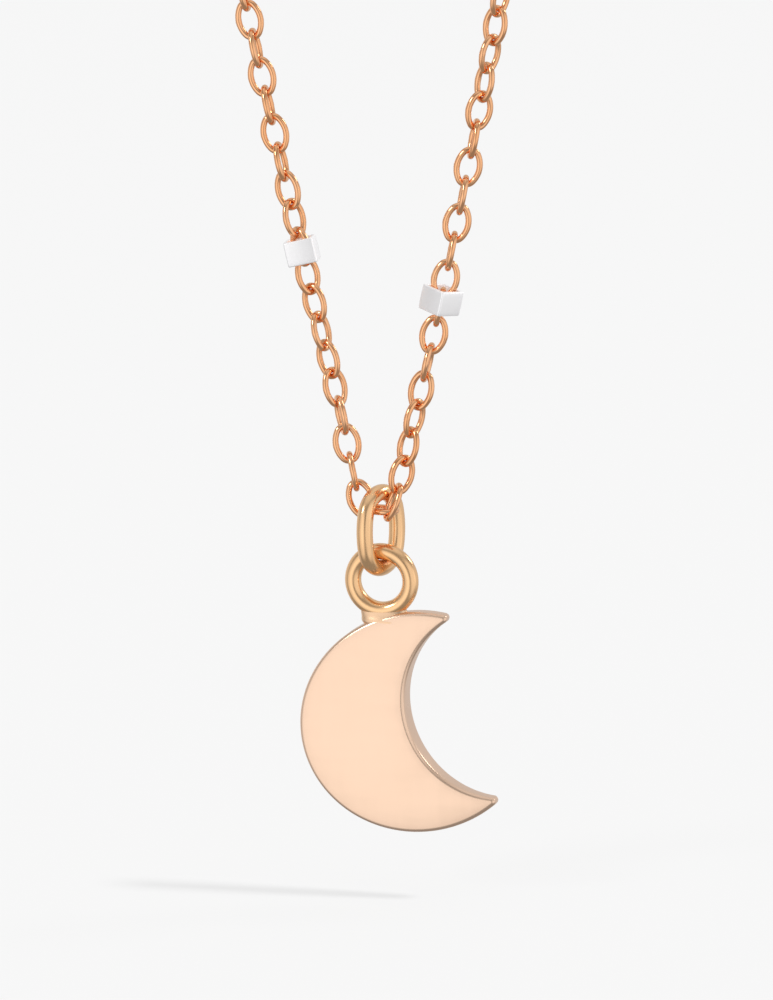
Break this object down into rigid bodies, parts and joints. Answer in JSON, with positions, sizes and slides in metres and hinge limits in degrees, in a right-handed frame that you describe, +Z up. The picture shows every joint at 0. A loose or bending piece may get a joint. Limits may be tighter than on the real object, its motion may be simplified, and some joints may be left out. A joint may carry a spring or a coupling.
{
  "type": "pendant necklace",
  "caption": "Fine oval cable chain with small square beads and a lobster clasp, carrying a polished crescent moon on a round ring and an oval bail.",
  "frame": {"origin": "top of the round rest, under the clasp at the nape, where the closed loop hangs", "axes": "+Z up; the loop lies in the XZ plane; the pendant's front faces -Y; the crescent opens towards +X"},
  "size_m": [0.0522, 0.0048, 0.2027],
  "materials": {
    "rose_gold_chain": "polished rose-gold plate on brass wire",
    "rose_gold_moon": "mirror-polished rose-gold plate on a brass casting",
    "rose_gold_fittings": "satin-polished rose-gold plate on brass",
    "silver_beads": "bright silver-coloured plate",
    "spring_steel": "plain steel"
  },
  "bodies": {
    "nape": {"beads_nape_left": "silver_beads", "beads_nape_right": "silver_beads", "links_nape_left": "rose_gold_chain", "links_nape_right": "rose_gold_chain", "jump_ring_left": "rose_gold_fittings", "jump_ring_right": "rose_gold_fittings", "clasp_body": "rose_gold_fittings", "clasp_pin": "spring_steel", "clasp_spring": "spring_steel"},
    "lever": {"clasp_lever": "rose_gold_fittings"},
    "drape_8": {"beads_drape_8_left": "silver_beads", "beads_drape_8_right": "silver_beads", "links_drape_8_left": "rose_gold_chain", "links_drape_8_right": "rose_gold_chain"},
    "drape_7": {"beads_drape_7_left": "silver_beads", "beads_drape_7_right": "silver_beads", "links_drape_7_left": "rose_gold_chain", "links_drape_7_right": "rose_gold_chain"},
    "drape_6": {"beads_drape_6_left": "silver_beads", "beads_drape_6_right": "silver_beads", "links_drape_6_left": "rose_gold_chain", "links_drape_6_right": "rose_gold_chain"},
    "drape_5": {"beads_drape_5_left": "silver_beads", "beads_drape_5_right": "silver_beads", "links_drape_5_left": "rose_gold_chain", "links_drape_5_right": "rose_gold_chain"},
    "drape_4": {"beads_drape_4_left": "silver_beads", "beads_drape_4_right": "silver_beads", "links_drape_4_left": "rose_gold_chain", "links_drape_4_right": "rose_gold_chain"},
    "drape_3": {"links_drape_3_left": "rose_gold_chain", "links_drape_3_right": "rose_gold_chain"},
    "drape_2": {"beads_drape_2_left": "silver_beads", "beads_drape_2_right": "silver_beads", "links_drape_2_left": "rose_gold_chain", "links_drape_2_right": "rose_gold_chain"},
    "drape_1": {"links_drape_1_left": "rose_gold_chain", "links_drape_1_right": "rose_gold_chain", "bottom_link": "rose_gold_chain"},
    "bail": {"bail": "rose_gold_fittings"},
    "pendant": {"pendant_ring": "rose_gold_fittings", "moon": "rose_gold_moon", "solder_joint": "rose_gold_fittings"}
  },
  "joints": [
    {"name": "lever_turn", "type": "hinge", "parent": "nape", "child": "lever", "pos_m": [-0.001, 0.0009, 0.00087], "axis": [0, 0, 1], "range_deg": [-20, 0], "stiffness_Nm_per_rad": 0.0004, "springref_deg": 20.05},
    {"name": "drape_8_swing", "type": "hinge", "parent": "nape", "child": "drape_8", "pos_m": [0, 0, -0.02697], "axis": [1, 0, 0], "range_deg": [-25, 25]},
    {"name": "drape_7_swing", "type": "hinge", "parent": "drape_8", "child": "drape_7", "pos_m": [0, 0, -0.05293], "axis": [1, 0, 0], "range_deg": [-25, 25]},
    {"name": "drape_6_swing", "type": "hinge", "parent": "drape_7", "child": "drape_6", "pos_m": [0, 0, -0.07884], "axis": [1, 0, 0], "range_deg": [-25, 25]},
    {"name": "drape_5_swing", "type": "hinge", "parent": "drape_6", "child": "drape_5", "pos_m": [0, 0, -0.10471], "axis": [1, 0, 0], "range_deg": [-25, 25]},
    {"name": "drape_4_swing", "type": "hinge", "parent": "drape_5", "child": "drape_4", "pos_m": [0, 0, -0.1305], "axis": [1, 0, 0], "range_deg": [-25, 25]},
    {"name": "drape_3_swing", "type": "hinge", "parent": "drape_4", "child": "drape_3", "pos_m": [0, 0, -0.15476], "axis": [1, 0, 0], "range_deg": [-25, 25]},
    {"name": "drape_2_swing", "type": "hinge", "parent": "drape_3", "child": "drape_2", "pos_m": [0, 0, -0.16612], "axis": [1, 0, 0], "range_deg": [-25, 25]},
    {"name": "drape_1_swing", "type": "hinge", "parent": "drape_2", "child": "drape_1", "pos_m": [0, 0, -0.17743], "axis": [1, 0, 0], "range_deg": [-25, 25]},
    {"name": "bail_swing", "type": "hinge", "parent": "drape_1", "child": "bail", "pos_m": [0, 0, -0.18468], "axis": [0.9336, -0.3584, 0], "range_deg": [-25, 25]},
    {"name": "pendant_swing", "type": "hinge", "parent": "bail", "child": "pendant", "pos_m": [0, 0, -0.18723], "axis": [0.3584, 0.9336, 0], "range_deg": [-45, 45]}
  ]
}
